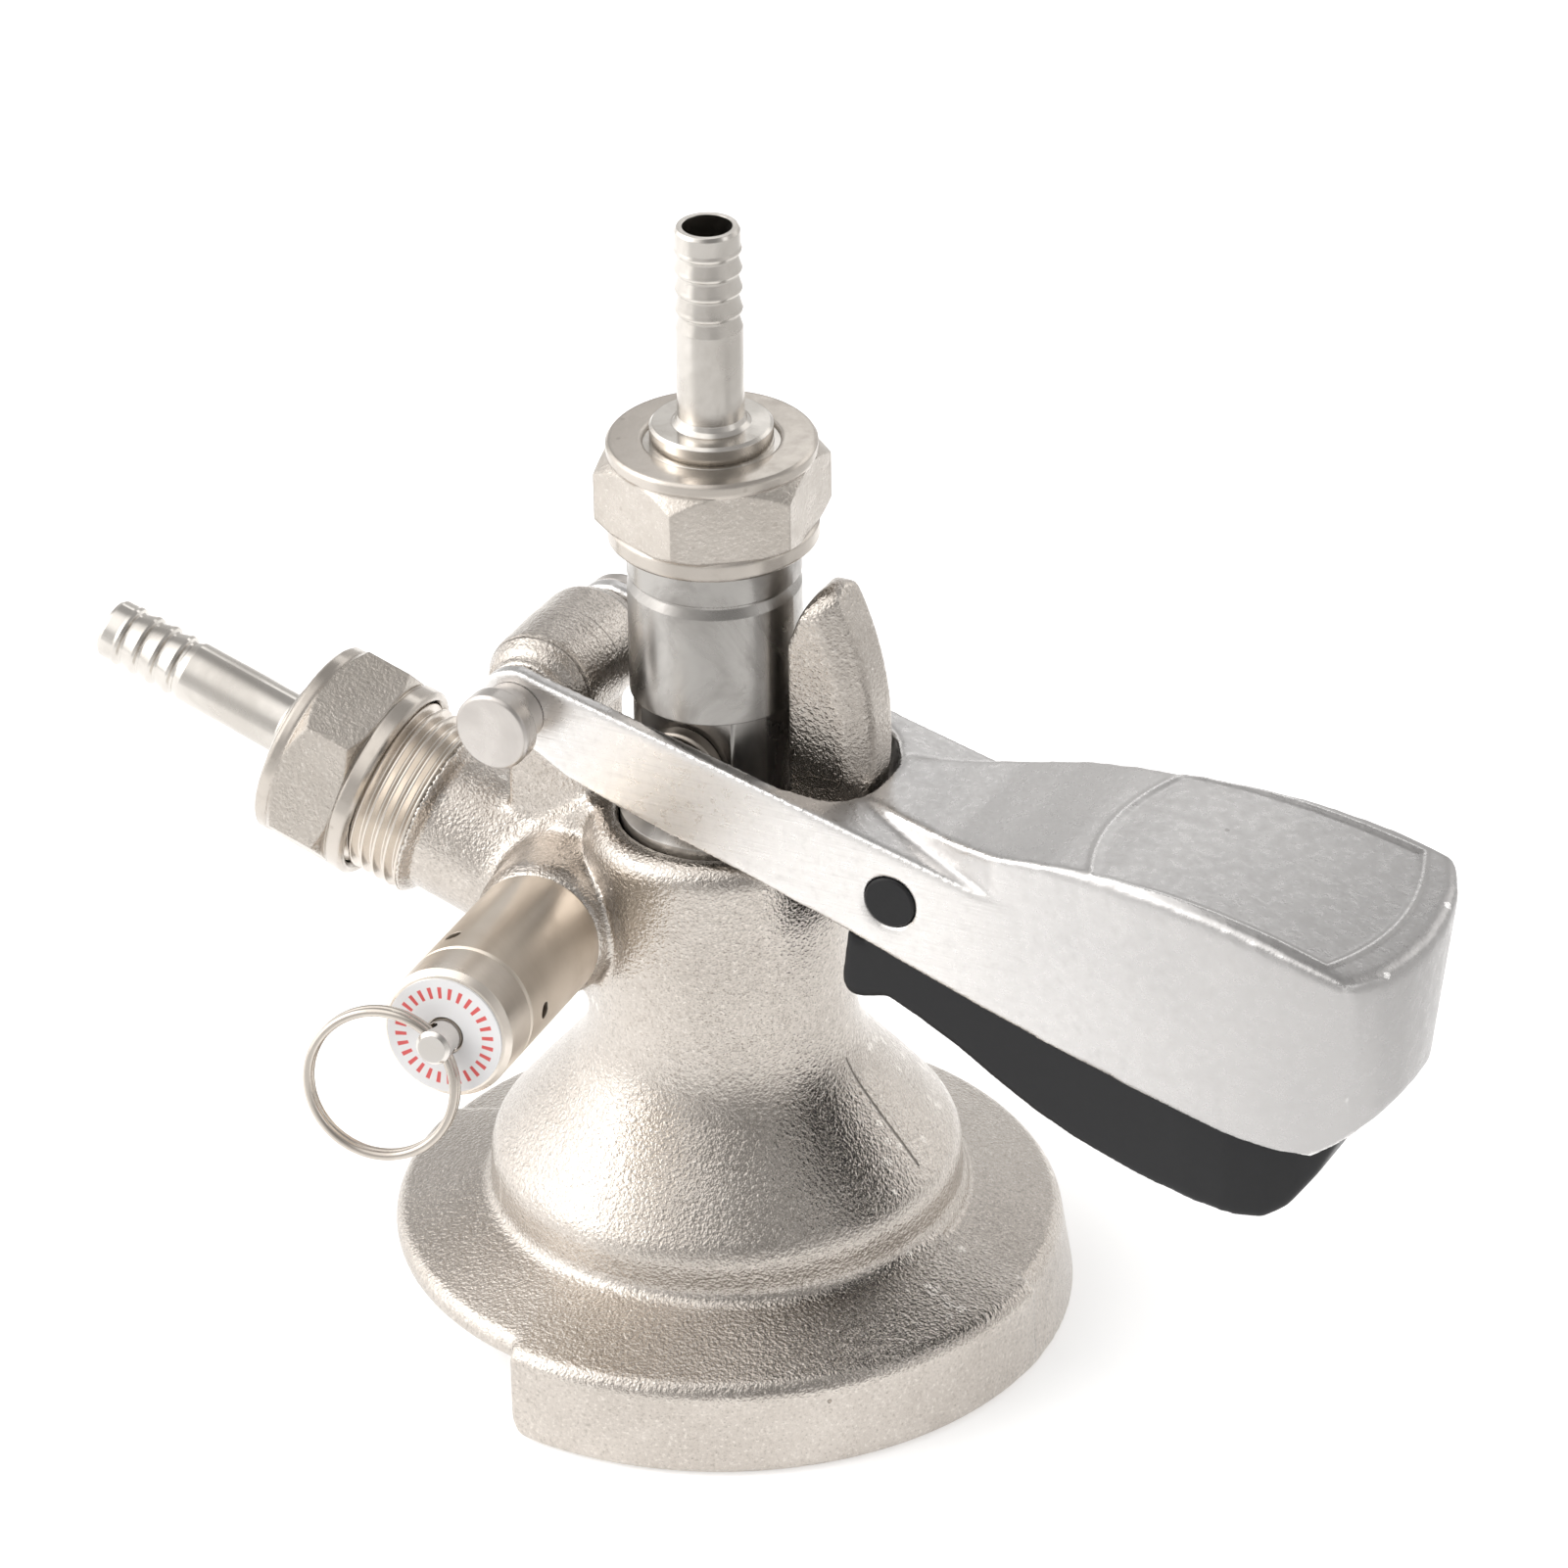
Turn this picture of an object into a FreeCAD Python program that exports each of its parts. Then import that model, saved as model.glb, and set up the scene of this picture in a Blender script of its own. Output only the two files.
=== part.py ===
import FreeCAD, Part
import math
import os

os.makedirs("parts", exist_ok=True)
V = FreeCAD.Vector

# ---------------------------------------------------------------- driving dimensions (mm)
FLANGE_R = 46.0          # thin open flange
SKIRT_R = 47.9           # slide skirt
CEIL_Z = 10.8            # underside of the flange, where the keg valve face seats
SLOT_HALF = 35.0         # half width of the keg flange groove
LIP_HALF = 31.5          # half width between the lips below the groove
LIP_Z = 4.2              # top of the lips
SKIRT_END_X = -9.1       # the skirt stops here, the entry side is open
LEDGE_R = 33.4            # foot of the ledge round the cone
WALL_R = 32.5             # its upright wall
NECK_R = 18.0
NECK_Z = 76.0
GUIDE_R = 13.5           # bore that guides the probe's collar
CHAMBER_R = 14.2         # gas space round the probe
PROBE_R = 11.65
PIVOT = V(-22.8, 0, 92.8)
KNUCKLE_R = 8.0
ARM_Y = 14.55            # outer face of the fork arms
SLOT_Y = 11.9            # inner face of the fork arms
HORN_R = 47.6            # outboard face of the lock post, an arc about the pivot
HORN_R2 = 44.3
TRIG = V(32.6, 0, 77.2)  # trigger pin
ROLLER = V(0, 0, 87.2)   # drive roller on each fork arm
ROLLER_R = 6.0
GAS_TILT = 17.7          # gas inlet, degrees above level
GAS_O = V(0, 0, 50.9)
PRV_AZ, PRV_EL = -82.6, 6.8
PRV_O = V(-20.4, 0, 59.3)
NUT_AF = 27.5
NUT_RING_R = 14.1
BARB_R = 4.5
TUBE_R = 4.45
BORE_R = 3.3
COLLAR_R = 8.2


# ---------------------------------------------------------------- helpers
def rev(pts, origin=V(0, 0, 0), axis=V(0, 0, 1), angle=360.0):
    """Solid of revolution from (r, s) points; s runs along axis from origin."""
    w = Part.makePolygon([V(r, 0, s) for r, s in pts] + [V(pts[0][0], 0, pts[0][1])])
    s = Part.Face(w).revolve(V(0, 0, 0), V(0, 0, 1), angle)
    s.Placement = FreeCAD.Placement(origin, FreeCAD.Rotation(V(0, 0, 1), axis))
    return s


def cyl(r, a, b):
    d = b.sub(a)
    return Part.makeCylinder(r, d.Length, a, d)


def box(x0, y0, z0, x1, y1, z1):
    return Part.makeBox(x1 - x0, y1 - y0, z1 - z0, V(x0, y0, z0))


def prism_y(pts, y0, y1):
    """Extrude an (x, z) outline from y0 to y1."""
    f = Part.Face(Part.makePolygon([V(x, y0, z) for x, z in pts] + [V(pts[0][0], y0, pts[0][1])]))
    return f.extrude(V(0, y1 - y0, 0))


def prism_z(pts, z0, z1):
    f = Part.Face(Part.makePolygon([V(x, y, z0) for x, y in pts] + [V(pts[0][0], pts[0][1], z0)]))
    return f.extrude(V(0, 0, z1 - z0))


def pivot_rev(pts):
    """Full turn about the fork pivot (axis Y) of (radius, y) points."""
    w = Part.makePolygon([V(PIVOT.x + r, y, PIVOT.z) for r, y in pts] + [V(PIVOT.x + pts[0][0], pts[0][1], PIVOT.z)])
    return Part.Face(w).revolve(PIVOT, V(0, 1, 0), 360)


def save(node, shape):
    if shape.ShapeType == "Compound" and len(shape.Solids) == 1:
        shape = shape.Solids[0]
    bad = [s for s in shape.Solids if not s.isValid()]
    print("%-20s solids %d vol %9.1f valid %s" % (node, len(shape.Solids), shape.Volume, not bad))
    shape.exportStep("parts/%s.step" % node)


def azel(az, el):
    a, e = math.radians(az), math.radians(el)
    return V(math.cos(e) * math.cos(a), math.cos(e) * math.sin(a), math.sin(e))


GAS_D = azel(180.0, GAS_TILT)
PRV_D = azel(PRV_AZ, PRV_EL)


def at(o, d, s):
    return o.add(V(d).multiply(s))


# ---------------------------------------------------------------- body casting
front = rev([(0, CEIL_Z), (FLANGE_R - 0.6, CEIL_Z), (FLANGE_R, CEIL_Z + 0.6), (FLANGE_R, 13.0), (FLANGE_R - 1.0, 14.3),
             (LEDGE_R, 17.8), (0, 17.8)])
back = rev([(0, CEIL_Z), (FLANGE_R - 0.6, CEIL_Z), (FLANGE_R, CEIL_Z + 0.6), (FLANGE_R, 12.0), (FLANGE_R - 1.0, 13.2),
            (LEDGE_R, 16.6), (0, 16.6)])
skirt_f = rev([(0, 0), (SKIRT_R - 0.8, 0), (SKIRT_R, 0.8), (SKIRT_R, 12.6), (SKIRT_R - 1.2, 14.0), (LEDGE_R, 17.8), (0, 17.8)])
skirt_b = rev([(0, 0), (SKIRT_R - 0.8, 0), (SKIRT_R, 0.8), (SKIRT_R - 1.6, 11.6), (SKIRT_R - 2.6, 12.9), (LEDGE_R, 16.6), (0, 16.6)])
# the front half is a little higher; it runs out in a short ramp on the entry side
ramp = prism_y([(-60, 0), (0, 0), (0, 40), (-60, 40)], -60, -7.0)
wedge = Part.Face(Part.makePolygon([V(-60, -7.0, 0), V(-60, 3.0, 0), V(-60, 3.0, 16.4), V(-60, -7.0, 19.4), V(-60, -7.0, 0)])).extrude(V(60, 0, 0))
half_f = ramp.fuse(wedge)
disc = back.fuse(front.common(half_f.fuse(box(0, -60, 0, 60, -1.2, 40))))
sk_cut = box(SKIRT_END_X, -60, -1, 60, 60, 40)
skirt = skirt_b.common(sk_cut).common(box(-60, -1.2, -1, 60, 60, 40)).fuse(skirt_f.common(sk_cut).common(box(-60, -60, -1, 60, -1.2, 40)))
# keg groove: parallel walls from the entry side, round at the closed side
groove = cyl(SLOT_HALF, V(0, 0, LIP_Z), V(0, 0, CEIL_Z)).fuse(box(-60, -SLOT_HALF, LIP_Z, 0, SLOT_HALF, CEIL_Z))
lipcut = cyl(LIP_HALF, V(0, 0, -1), V(0, 0, CEIL_Z)).fuse(box(-60, -LIP_HALF, -1, 0, LIP_HALF, CEIL_Z))
skirt = skirt.cut(groove).cut(lipcut)
# lower corners of the skirt's ends are rounded
END_R = 3.6
corner = box(SKIRT_END_X - 1, -60, -1, SKIRT_END_X + END_R, 60, END_R).cut(
    cyl(END_R, V(SKIRT_END_X + END_R, -61, END_R), V(SKIRT_END_X + END_R, 61, END_R)))
skirt = skirt.cut(corner)
cone = rev([(0, CEIL_Z), (LEDGE_R, CEIL_Z), (LEDGE_R, 17.9), (WALL_R + 0.3, 18.4), (WALL_R, 19.2), (WALL_R, 23.2), (WALL_R - 0.3, 24.4), (31.6, 25.6), (27.6, 30.5), (24.0, 34.7),
            (20.6, 39.0), (19.0, 42.0), (18.3, 45.0), (NECK_R, 48.5), (NECK_R, NECK_Z - 2.6), (NECK_R - 0.4, NECK_Z - 1.5),
            (NECK_R - 1.2, NECK_Z - 0.6), (NECK_R - 2.4, NECK_Z), (0, NECK_Z)])
gas_boss = cyl(10.8, at(GAS_O, GAS_D, 0), at(GAS_O, GAS_D, 44.6))
gas_boss = gas_boss.fuse(rev([(0, 10), (12.4, 10), (11.2, 30), (10.8, 36), (0, 36)], GAS_O, GAS_D))
# male thread, drawn as its crests and roots
th = [(0, 44.0), (11.4, 44.0), (12.4, 45.0)]
s = 45.0
while s < 60.5:
    th += [(12.5, s + 0.25), (12.5, s + 0.55), (11.45, s + 1.15), (11.45, s + 1.45)]
    s += 1.814
th += [(11.2, s + 0.6), (0, s + 0.6)]
THREAD_END = s + 0.6
gas_thread = rev(th, GAS_O, GAS_D)
prv_boss = cyl(9.9, at(PRV_O, PRV_D, -4.0), at(PRV_O, PRV_D, 17.5)).fuse(
    rev([(0, 17.4), (9.9, 17.4), (9.3, 18.6), (8.9, 19.6), (0, 19.6)], PRV_O, PRV_D))
prv_boss = prv_boss.fuse(rev([(0, -2), (10.6, -2), (10.3, 9), (9.9, 14), (0, 14)], PRV_O, PRV_D))
knuckle = rev([(0, -11.6), (5.7, -11.6), (5.9, -10.2), (6.8, -9.6), (7.2, -8.8), (KNUCKLE_R, -7.4), (KNUCKLE_R + 0.15, 0), (KNUCKLE_R, 7.4), (7.2, 8.8),
               (6.9, 9.7), (5.9, 10.3), (5.7, 11.6), (0, 11.6)], PIVOT, V(0, 1, 0))
web = prism_y([(-17.0, 91.0), (-17.0, 70.0), (-14.0, 60.0), (-24.0, 60.0), (-30.0, 66.0), (-29.8, 92.0), (-24, 95)], -5.0, 5.0)
web = web.fuse(prism_y([(-16.0, 76.0), (-14.5, 62.0), (-28.0, 62.0), (-27.0, 68.0), (-21.0, 73.0), (-17.0, 76.0)], -6.5, 6.5))
horn = prism_y([(13.2, 60.0), (13.2, 106.5), (14.2, 109.6), (15.3, 112.2), (16.4, 113.9), (17.7, 114.8), (19.2, 114.9), (20.6, 114.0), (22.0, 112.0), (30, 100), (30, 62), (17, 60)], -6.0, 6.0)
dome = [(-6, 60), (-6, 108.6), (-5.0, 111.0), (-4.0, 112.7), (-2.8, 114.0), (-1.4, 114.7), (0, 114.9), (1.4, 114.7), (2.8, 114.0), (4.0, 112.7), (5.0, 111.0), (6, 108.6), (6, 60)]
horn = horn.common(Part.Face(Part.makePolygon([V(0, y, z) for y, z in dome] + [V(0, -6, 60)])).extrude(V(40, 0, 0)))
horn = horn.common(pivot_rev([(30, -5.0), (HORN_R2, -5.0), (HORN_R, -3.0), (HORN_R, 3.0), (HORN_R2, 5.0), (30, 5.0)]))
body = disc.fuse([skirt, cone, gas_boss, gas_thread, prv_boss, knuckle, web, horn])
# bores
body = body.cut(rev([(0, -2), (0, 93), (13.9, 93), (13.9, NECK_Z - 0.35), (GUIDE_R, NECK_Z - 0.75), (GUIDE_R, 60.0), (CHAMBER_R, 57.8), (CHAMBER_R, 34.0),
                     (18.5, 27.0), (18.5, CEIL_Z - 0.1), (18.5, -2)]))
body = body.cut(cyl(3.3, at(GAS_O, GAS_D, 10), at(GAS_O, GAS_D, 50)))
body = body.cut(cyl(8.0, at(GAS_O, GAS_D, 44.0), at(GAS_O, GAS_D, 80)))
body = body.cut(cyl(4.0, at(PRV_O, PRV_D, -1), at(PRV_O, PRV_D, 30)))
body = body.cut(cyl(7.0, at(PRV_O, PRV_D, 8.4), at(PRV_O, PRV_D, 40)))
body = body.cut(cyl(3.05, V(PIVOT.x, -20, PIVOT.z), V(PIVOT.x, 20, PIVOT.z)))
# ring groove for the keg face seal
body = body.cut(rev([(21.0, CEIL_Z - 1), (26.0, CEIL_Z - 1), (26.0, 13.4), (21.0, 13.4)]))
# clearance for the probe where the web and the post rise beside it
body = body.cut(rev([(0, NECK_Z), (12.9, NECK_Z), (12.9, 130), (0, 130)]))
if len(body.Solids) > 1:
    body = max(body.Solids, key=lambda q: q.Volume)
body = body.removeSplitter()
save("body_casting", body)

save("keg_face_seal", rev([(21.1, 13.3), (25.9, 13.3), (25.9, 10.4), (24.8, 9.6), (22.2, 9.6), (21.1, 10.4)]))

# ---------------------------------------------------------------- probe group
PROBE_BOT = 3.2
probe = rev([(4.6, PROBE_BOT), (9.2, PROBE_BOT), (9.6, PROBE_BOT + 0.6), (9.6, 14.0), (8.8, 14.6), (8.8, 54.6), (12.6, 58.4), (13.4, 58.8), (13.4, 60.6),
             (11.6, 60.6), (11.6, 63.0), (13.4, 63.0), (13.4, 77.0), (11.9, 78.2), (11.2, 78.4), (11.2, 95.26), (PROBE_R, 95.26), (PROBE_R, 111.0), (11.0, 112.3), (11.0, 112.6),
             (PROBE_R, 113.0), (PROBE_R, 117.0), (11.3, 117.5), (11.3, 118.4), (11.4, 119.0), (11.4, 128.0), (10.9, 128.6), (7.6, 128.6),
             (7.6, 112.0), (4.6, 108.6)])
# flats with stops above and below, where the fork rollers work
for sy in (-1, 1):
    probe = probe.cut(box(-20, sy * 9.0 if sy > 0 else -30, ROLLER.z - 6.35, 20, 30 if sy > 0 else -9.0, ROLLER.z + 6.35 + 1.7))
save("probe", probe)
save("probe_bottom_seal", rev([(9.62, PROBE_BOT + 0.4), (12.2, PROBE_BOT + 0.4), (13.0, PROBE_BOT + 1.6), (13.0, 8.2), (11.0, 10.6), (9.62, 10.6)]))


def o_ring(rc, rs, origin, axis):
    c = Part.Wire(Part.makeCircle(rs, V(rc, 0, 0), V(0, 1, 0)))
    t = Part.Face(c).revolve(V(0, 0, 0), V(0, 0, 1), 360)
    t.Placement = FreeCAD.Placement(origin, FreeCAD.Rotation(V(0, 0, 1), axis))
    return t


save("probe_o_ring", o_ring(12.55, 0.9, V(0, 0, 61.8), V(0, 0, 1)))
cage = rev([(5.0, 113.0), (7.45, 113.0), (7.45, 127.4), (6.6, 127.4), (6.6, 115.0), (5.6, 114.0), (5.0, 114.0)])
for k in range(4):
    a = math.radians(45 + 90 * k)
    slot = box(-1.6, 3, 116.5, 1.6, 9, 129)
    slot.rotate(V(0, 0, 0), V(0, 0, 1), 45 + 90 * k)
    cage = cage.cut(slot)
ring = rev([(2.0, 126.0), (7.2, 126.0), (7.2, 127.4), (2.0, 127.4)])
for k in range(3):
    hole = cyl(1.7, V(4.6, 0, 120), V(4.6, 0, 130))
    hole.rotate(V(0, 0, 0), V(0, 0, 1), 30 + 120 * k)
    ring = ring.cut(hole)
save("ball_retainer", cage.fuse(ring).removeSplitter())
save("check_ball", Part.makeSphere(5.5, V(0, 0, 116.4)))
save("beer_washer", rev([(3.6, 128.65), (9.6, 128.65), (9.6, 130.1), (3.6, 130.1)]))


def tailpiece(o, d, base, seat_r, collar0, collar1, tube0, tube1, crests, tip):
    """Turned hose tail: seat flange, collar, plain tube and a row of barbs."""
    p = [(BORE_R, base), (seat_r, base), (seat_r, base + 1.5), (COLLAR_R, base + 1.5), (COLLAR_R, collar1 - 0.4), (COLLAR_R - 0.4, collar1),
         (5.3, collar1), (4.75, collar1 + 0.5), (TUBE_R, tube0 + 0.4), (TUBE_R, tube1)]
    for c in crests:
        p += [(3.95, c - 1.35), (3.95, c - 1.0), (4.4, c - 0.75), (BARB_R, c - 0.35), (4.35, c + 0.1)]
    p += [(4.3, tip - 0.5), (4.0, tip), (BORE_R, tip)]
    return rev(p, o, d)


save("beer_tailpiece", tailpiece(V(0, 0, 0), V(0, 0, 1), 130.15, 9.6, 130.0, 134.62, 135.4, 148.6, [151.6, 154.6, 157.4, 160.2], 162.95))


def hex_nut(o, d, s0, turn, thread_r, shoulder):
    """Union nut: turned ring, chamfered hexagon, thin turned face; s0 is the ring end."""
    total = 14.35
    R = NUT_AF / math.sqrt(3.0)
    hexa = prism_z([(R * math.cos(math.radians(60 * k)), R * math.sin(math.radians(60 * k))) for k in range(6)], s0 + 2.9, s0 + total - 2.0)
    lim = rev([(0, s0 + 2.9), (14.3, s0 + 2.9), (16.2, s0 + 4.1), (16.2, s0 + total - 4.2), (13.9, s0 + total - 2.0), (0, s0 + total - 2.0)])
    n = hexa.common(lim)
    n = n.fuse(rev([(0, s0), (NUT_RING_R - 0.5, s0), (NUT_RING_R, s0 + 0.5), (NUT_RING_R, s0 + 2.5), (NUT_RING_R - 0.5, s0 + 2.9), (13.2, s0 + 2.9),
                    (13.2, s0 + 3.2), (0, s0 + 3.2)]))
    n = n.fuse(rev([(0, s0 + total - 2.4), (13.7, s0 + total - 2.4), (NUT_RING_R - 0.1, s0 + total - 1.6), (NUT_RING_R - 0.1, s0 + total - 0.4),
                    (NUT_RING_R - 0.5, s0 + total), (0, s0 + total)]))
    n = n.cut(rev([(0, s0 - 1), (thread_r + 0.5, s0 - 1), (thread_r + 0.5, s0), (thread_r, s0 + 0.6), (thread_r, shoulder), (9.1, shoulder),
                   (9.1, s0 + total - 0.3), (9.4, s0 + total), (9.4, s0 + total + 1), (0, s0 + total + 1)]))
    n = n.removeSplitter()
    n.rotate(V(0, 0, 0), V(0, 0, 1), turn)
    n.Placement = FreeCAD.Placement(o, FreeCAD.Rotation(V(0, 0, 1), d)).multiply(n.Placement)
    return n


save("beer_hex_nut", hex_nut(V(0, 0, 0), V(0, 0, 1), 117.85, -53.0 + 30.0, 11.7, 131.7))

# ---------------------------------------------------------------- gas inlet group
G0 = THREAD_END          # end of the male thread along the inlet axis
dv = rev([(5.6, 46.0), (7.8, 46.0), (7.8, G0 + 0.0), (9.3, G0 + 0.02), (9.3, G0 + 1.0), (5.6, G0 + 1.0)], GAS_O, GAS_D)
lips = rev([(3.0, 44.4), (4.6, 44.4), (5.6, 46.0), (7.8, 46.0), (7.8, 46.8), (5.6, 46.8), (3.6, 45.4), (3.0, 45.4)], GAS_O, GAS_D)
save("duckbill_valve", dv.fuse(lips).removeSplitter())
save("gas_washer", rev([(3.8, G0 + 1.02), (9.6, G0 + 1.02), (9.6, G0 + 2.3), (3.8, G0 + 2.3)], GAS_O, GAS_D))
save("gas_tailpiece", tailpiece(GAS_O, GAS_D, G0 + 2.35, 9.6, 0, G0 + 7.4, G0 + 8.2, 86.2, [88.8, 91.6, 94.4, 97.2], 99.7))
save("gas_hex_nut", hex_nut(GAS_O, GAS_D, 52.9, 12.0, 12.65, G0 + 3.95))

# ---------------------------------------------------------------- relief valve group
S0 = 19.62
vb = rev([(4.0, 10.2), (6.9, 10.2), (6.9, S0), (8.5, S0), (9.07, S0 + 0.6), (9.07, 44.6), (8.6, 45.0), (7.4, 45.0), (7.4, 24.0), (4.0, 22.0)], PRV_O, PRV_D)
for k in range(3):
    h = cyl(1.15, at(PRV_O, PRV_D, 39.0), at(PRV_O, PRV_D, 39.0).add(V(15, 0, 0)))
    h.rotate(at(PRV_O, PRV_D, 39.0), PRV_D, -2 + 120 * k)
    vb = vb.cut(h)
save("relief_valve_body", vb)
save("relief_valve_cap", rev([(2.48, 50.6), (2.48, 53.0), (8.0, 53.0), (8.35, 52.9), (9.07, 52.0), (9.07, 45.5), (8.7, 45.05), (6.6, 45.05), (6.6, 50.6)], PRV_O, PRV_D))
save("relief_disc", rev([(2.7, 53.02), (8.0, 53.02), (8.0, 53.45), (2.7, 53.45)], PRV_O, PRV_D))
stem = rev([(0, 26.4), (2.0, 26.4), (2.0, 49.0), (2.4, 49.5), (2.4, 57.4), (1.9, 57.95), (0, 57.95)], PRV_O, PRV_D)
# cross hole for the ring
RING_C = at(PRV_O, PRV_D, 55.6)
CROSS = V(0.675, -0.001, -0.738)
CROSS = CROSS.sub(V(PRV_D).multiply(CROSS.dot(PRV_D)))
CROSS.normalize()
stem = stem.cut(cyl(1.45, RING_C.sub(V(CROSS).multiply(5)), RING_C.add(V(CROSS).multiply(5))))
save("relief_stem", stem)
save("relief_poppet", rev([(2.02, 22.6), (2.02, 26.35), (6.4, 26.35), (7.1, 25.6), (7.1, 24.6), (5.0, 22.6)], PRV_O, PRV_D).fuse(
    rev([(0, 22.6), (2.2, 22.6), (2.2, 26.35), (0, 26.35)], PRV_O, PRV_D)).removeSplitter())
# compression spring between poppet and cap
pitch, coils, rw, rc = 3.85, 5.9, 0.65, 4.6
helix = Part.makeHelix(pitch, pitch * coils, rc)
prof = Part.Wire(Part.makeCircle(rw, V(rc, 0, 0), V(0, 1, 0)))
spring = Part.Wire(helix.Edges).makePipeShell([prof], True, True)
spring.Placement = FreeCAD.Placement(at(PRV_O, PRV_D, 27.05), FreeCAD.Rotation(V(0, 0, 1), PRV_D))
save("relief_spring", spring)
save("relief_o_ring", o_ring(5.5, 0.85, at(PRV_O, PRV_D, 9.32), PRV_D))
# split ring of two wire turns hanging from the stem
RW, RR = 0.62, 10.0
RING_DIR = V(-0.703, -0.30, -0.645)
RING_DIR = RING_DIR.sub(V(CROSS).multiply(RING_DIR.dot(CROSS)))
RING_DIR.normalize()
RING_N = CROSS.cross(RING_DIR)
RING_N.normalize()
RC = RING_C.add(V(RING_DIR).multiply(RR))
turn = Part.Face(Part.Wire(Part.makeCircle(RW, V(RR, 0, 0), V(0, 1, 0)))).revolve(V(0, 0, 0), V(0, 0, 1), 360)
a = turn.copy()
a.translate(V(0, 0, -0.59))
b = turn.copy()
b.translate(V(0, 0, 0.59))
pr = a.fuse(b)
pr.Placement = FreeCAD.Placement(RC, FreeCAD.Rotation(V(0, 0, 1), RING_N))
print("ring centre", RC, "swing at", RING_C, "axis", CROSS, "relief axis", PRV_D, "gas axis", GAS_D, "G0", G0)
save("pull_ring", pr)

# ---------------------------------------------------------------- handle group
XS = [24.0, 30.0, 36.0, 42.0, 48.0, 60.0, 68.0, 76.0, 84.0, 89.0, 93.0]
HI = [5.4, 8.2, 10.5, 12.6, 14.4, 15.0, 15.9, 16.9, 17.7, 18.2, 18.6]
HI_END = [(99.8, 19.0), (102.7, 13.0), (104.1, 6.0), (104.5, 0.0)]
LO = [5.4, 8.2, 10.5, 12.6, 14.4, 14.4, 14.5, 14.6, 14.4, 13.7, 12.4]
LO_END = [(96.8, 9.4), (99.6, 7.4), (100.9, 4.4), (101.3, 0.0)]
ZL, ZH = 50.0, 86.0


def outline(z, xs, hi, hi_end, lo, lo_end, inset=0.0, back=0.0):
    t = (z - ZL) / (ZH - ZL)
    p = [(x, l + (h - l) * t - inset) for x, h, l in zip(xs, hi, lo)]
    p += [(l[0] + (h[0] - l[0]) * t - back, max(0.0, l[1] + (h[1] - l[1]) * t - inset)) for h, l in zip(hi_end, lo_end)]
    return p


def grip_loft(z0, z1, xs, hi, lo, inset=0.0, back=0.0):
    ws = []
    for z in (z0, z1):
        p = outline(z, xs, hi, HI_END, lo, LO_END, inset, back)
        pts = [V(x, -y, z) for x, y in p] + [V(x, y, z) for x, y in reversed(p[:-1])]
        ws.append(Part.makePolygon(pts + [pts[0]]))
    return Part.makeLoft(ws, True, True)


def T(x):
    """Top edge of the fork arms."""
    return 97.48 - 0.248 * (x + 17.6)


top = [(24.0, 87.1), (32.0, 87.0), (40.0, 87.2), (48.0, 87.9), (56.0, 88.8), (64.0, 89.3), (72.0, 89.2), (80.0, 88.4), (88.0, 87.0), (95.0, 85.3), (102.0, 83.3), (106.0, 81.8)]
low = [(106.0, 65.0), (102.3, 61.0), (99.0, 58.0), (95.6, 55.2), (93.0, 53.6), (88.3, 53.4), (81.0, 54.6), (74.2, 56.3), (67.0, 58.1), (60.1, 60.0), (52.0, 62.5), (45.8, 64.4), (34.4, 68.3), (25.7, 71.4)]
grip = grip_loft(48.0, 94.0, XS, HI, LO).common(prism_y(top + low + [(24.0, 72.0)], -25, 25))
arm_pts = [(-22.8, T(-22.8) + 0.0), (-17.6, 97.4), (0, T(0) + 0.1), (20, T(20)), (49.0, T(49)), (60.0, T(60) - 0.6), (60.1, 60.0), (52.0, 62.5), (45.8, 64.4), (34.4, 68.3), (25.7, 71.4), (12.7, 75.6),
           (5.4, 77.7), (-0.4, 79.3), (-9.2, 82.1), (-15.1, 84.1), (-20.4, 87.2)]
arms = prism_y(arm_pts, -ARM_Y, ARM_Y)
arms = arms.fuse(cyl(5.85, V(PIVOT.x, -ARM_Y, PIVOT.z), V(PIVOT.x, ARM_Y, PIVOT.z)))
fork = arms.fuse(grip)
# slot between the arms; its closed end is a surface of revolution about the pivot
fork = fork.cut(pivot_rev([(0, -SLOT_Y), (38.5, -SLOT_Y), (42.8, -10.7), (45.5, -9.0), (47.3, -6.2), (48.3, -3.4), (48.4, 0), (48.3, 3.4), (47.3, 6.2),
                           (45.5, 9.0), (42.8, 10.7), (38.5, SLOT_Y), (0, SLOT_Y)]))
# hollow underside that takes the trigger
XC = [27.9, 31.0, 36.0, 42.0, 48.0, 60.0, 68.0, 76.0, 84.0, 89.0, 93.0]
HC = [14.5, 14.5, 14.5, 14.5, 14.5, 15.0, 15.9, 16.9, 17.7, 18.2, 18.6]
LC = [14.5, 14.5, 14.5, 14.5, 14.5, 14.5, 14.5, 14.6, 14.4, 13.7, 12.4]
cav = grip_loft(40.0, 92.0, XC, HC, LC, 1.7, 2.2)
cav_side = [(27.9, 40), (27.9, 79.5), (30.5, 82.2), (36.0, 81.8), (44.0, 79.9), (49.5, 78.8), (52.5, 80.8), (58.0, 85.0), (64.0, 85.8), (72.0, 85.6), (80.0, 84.8), (88.0, 83.6), (96.9, 81.0), (97.2, 40)]
fork = fork.cut(cav.common(prism_y(cav_side, -25, 25)))
fork = fork.cut(cyl(3.04, V(PIVOT.x, -20, PIVOT.z), V(PIVOT.x, 20, PIVOT.z)))
fork = fork.cut(cyl(3.7, V(TRIG.x, -20, TRIG.z), V(TRIG.x, -13.3, TRIG.z))).cut(cyl(3.7, V(TRIG.x, 13.3, TRIG.z), V(TRIG.x, 20, TRIG.z)))
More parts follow.
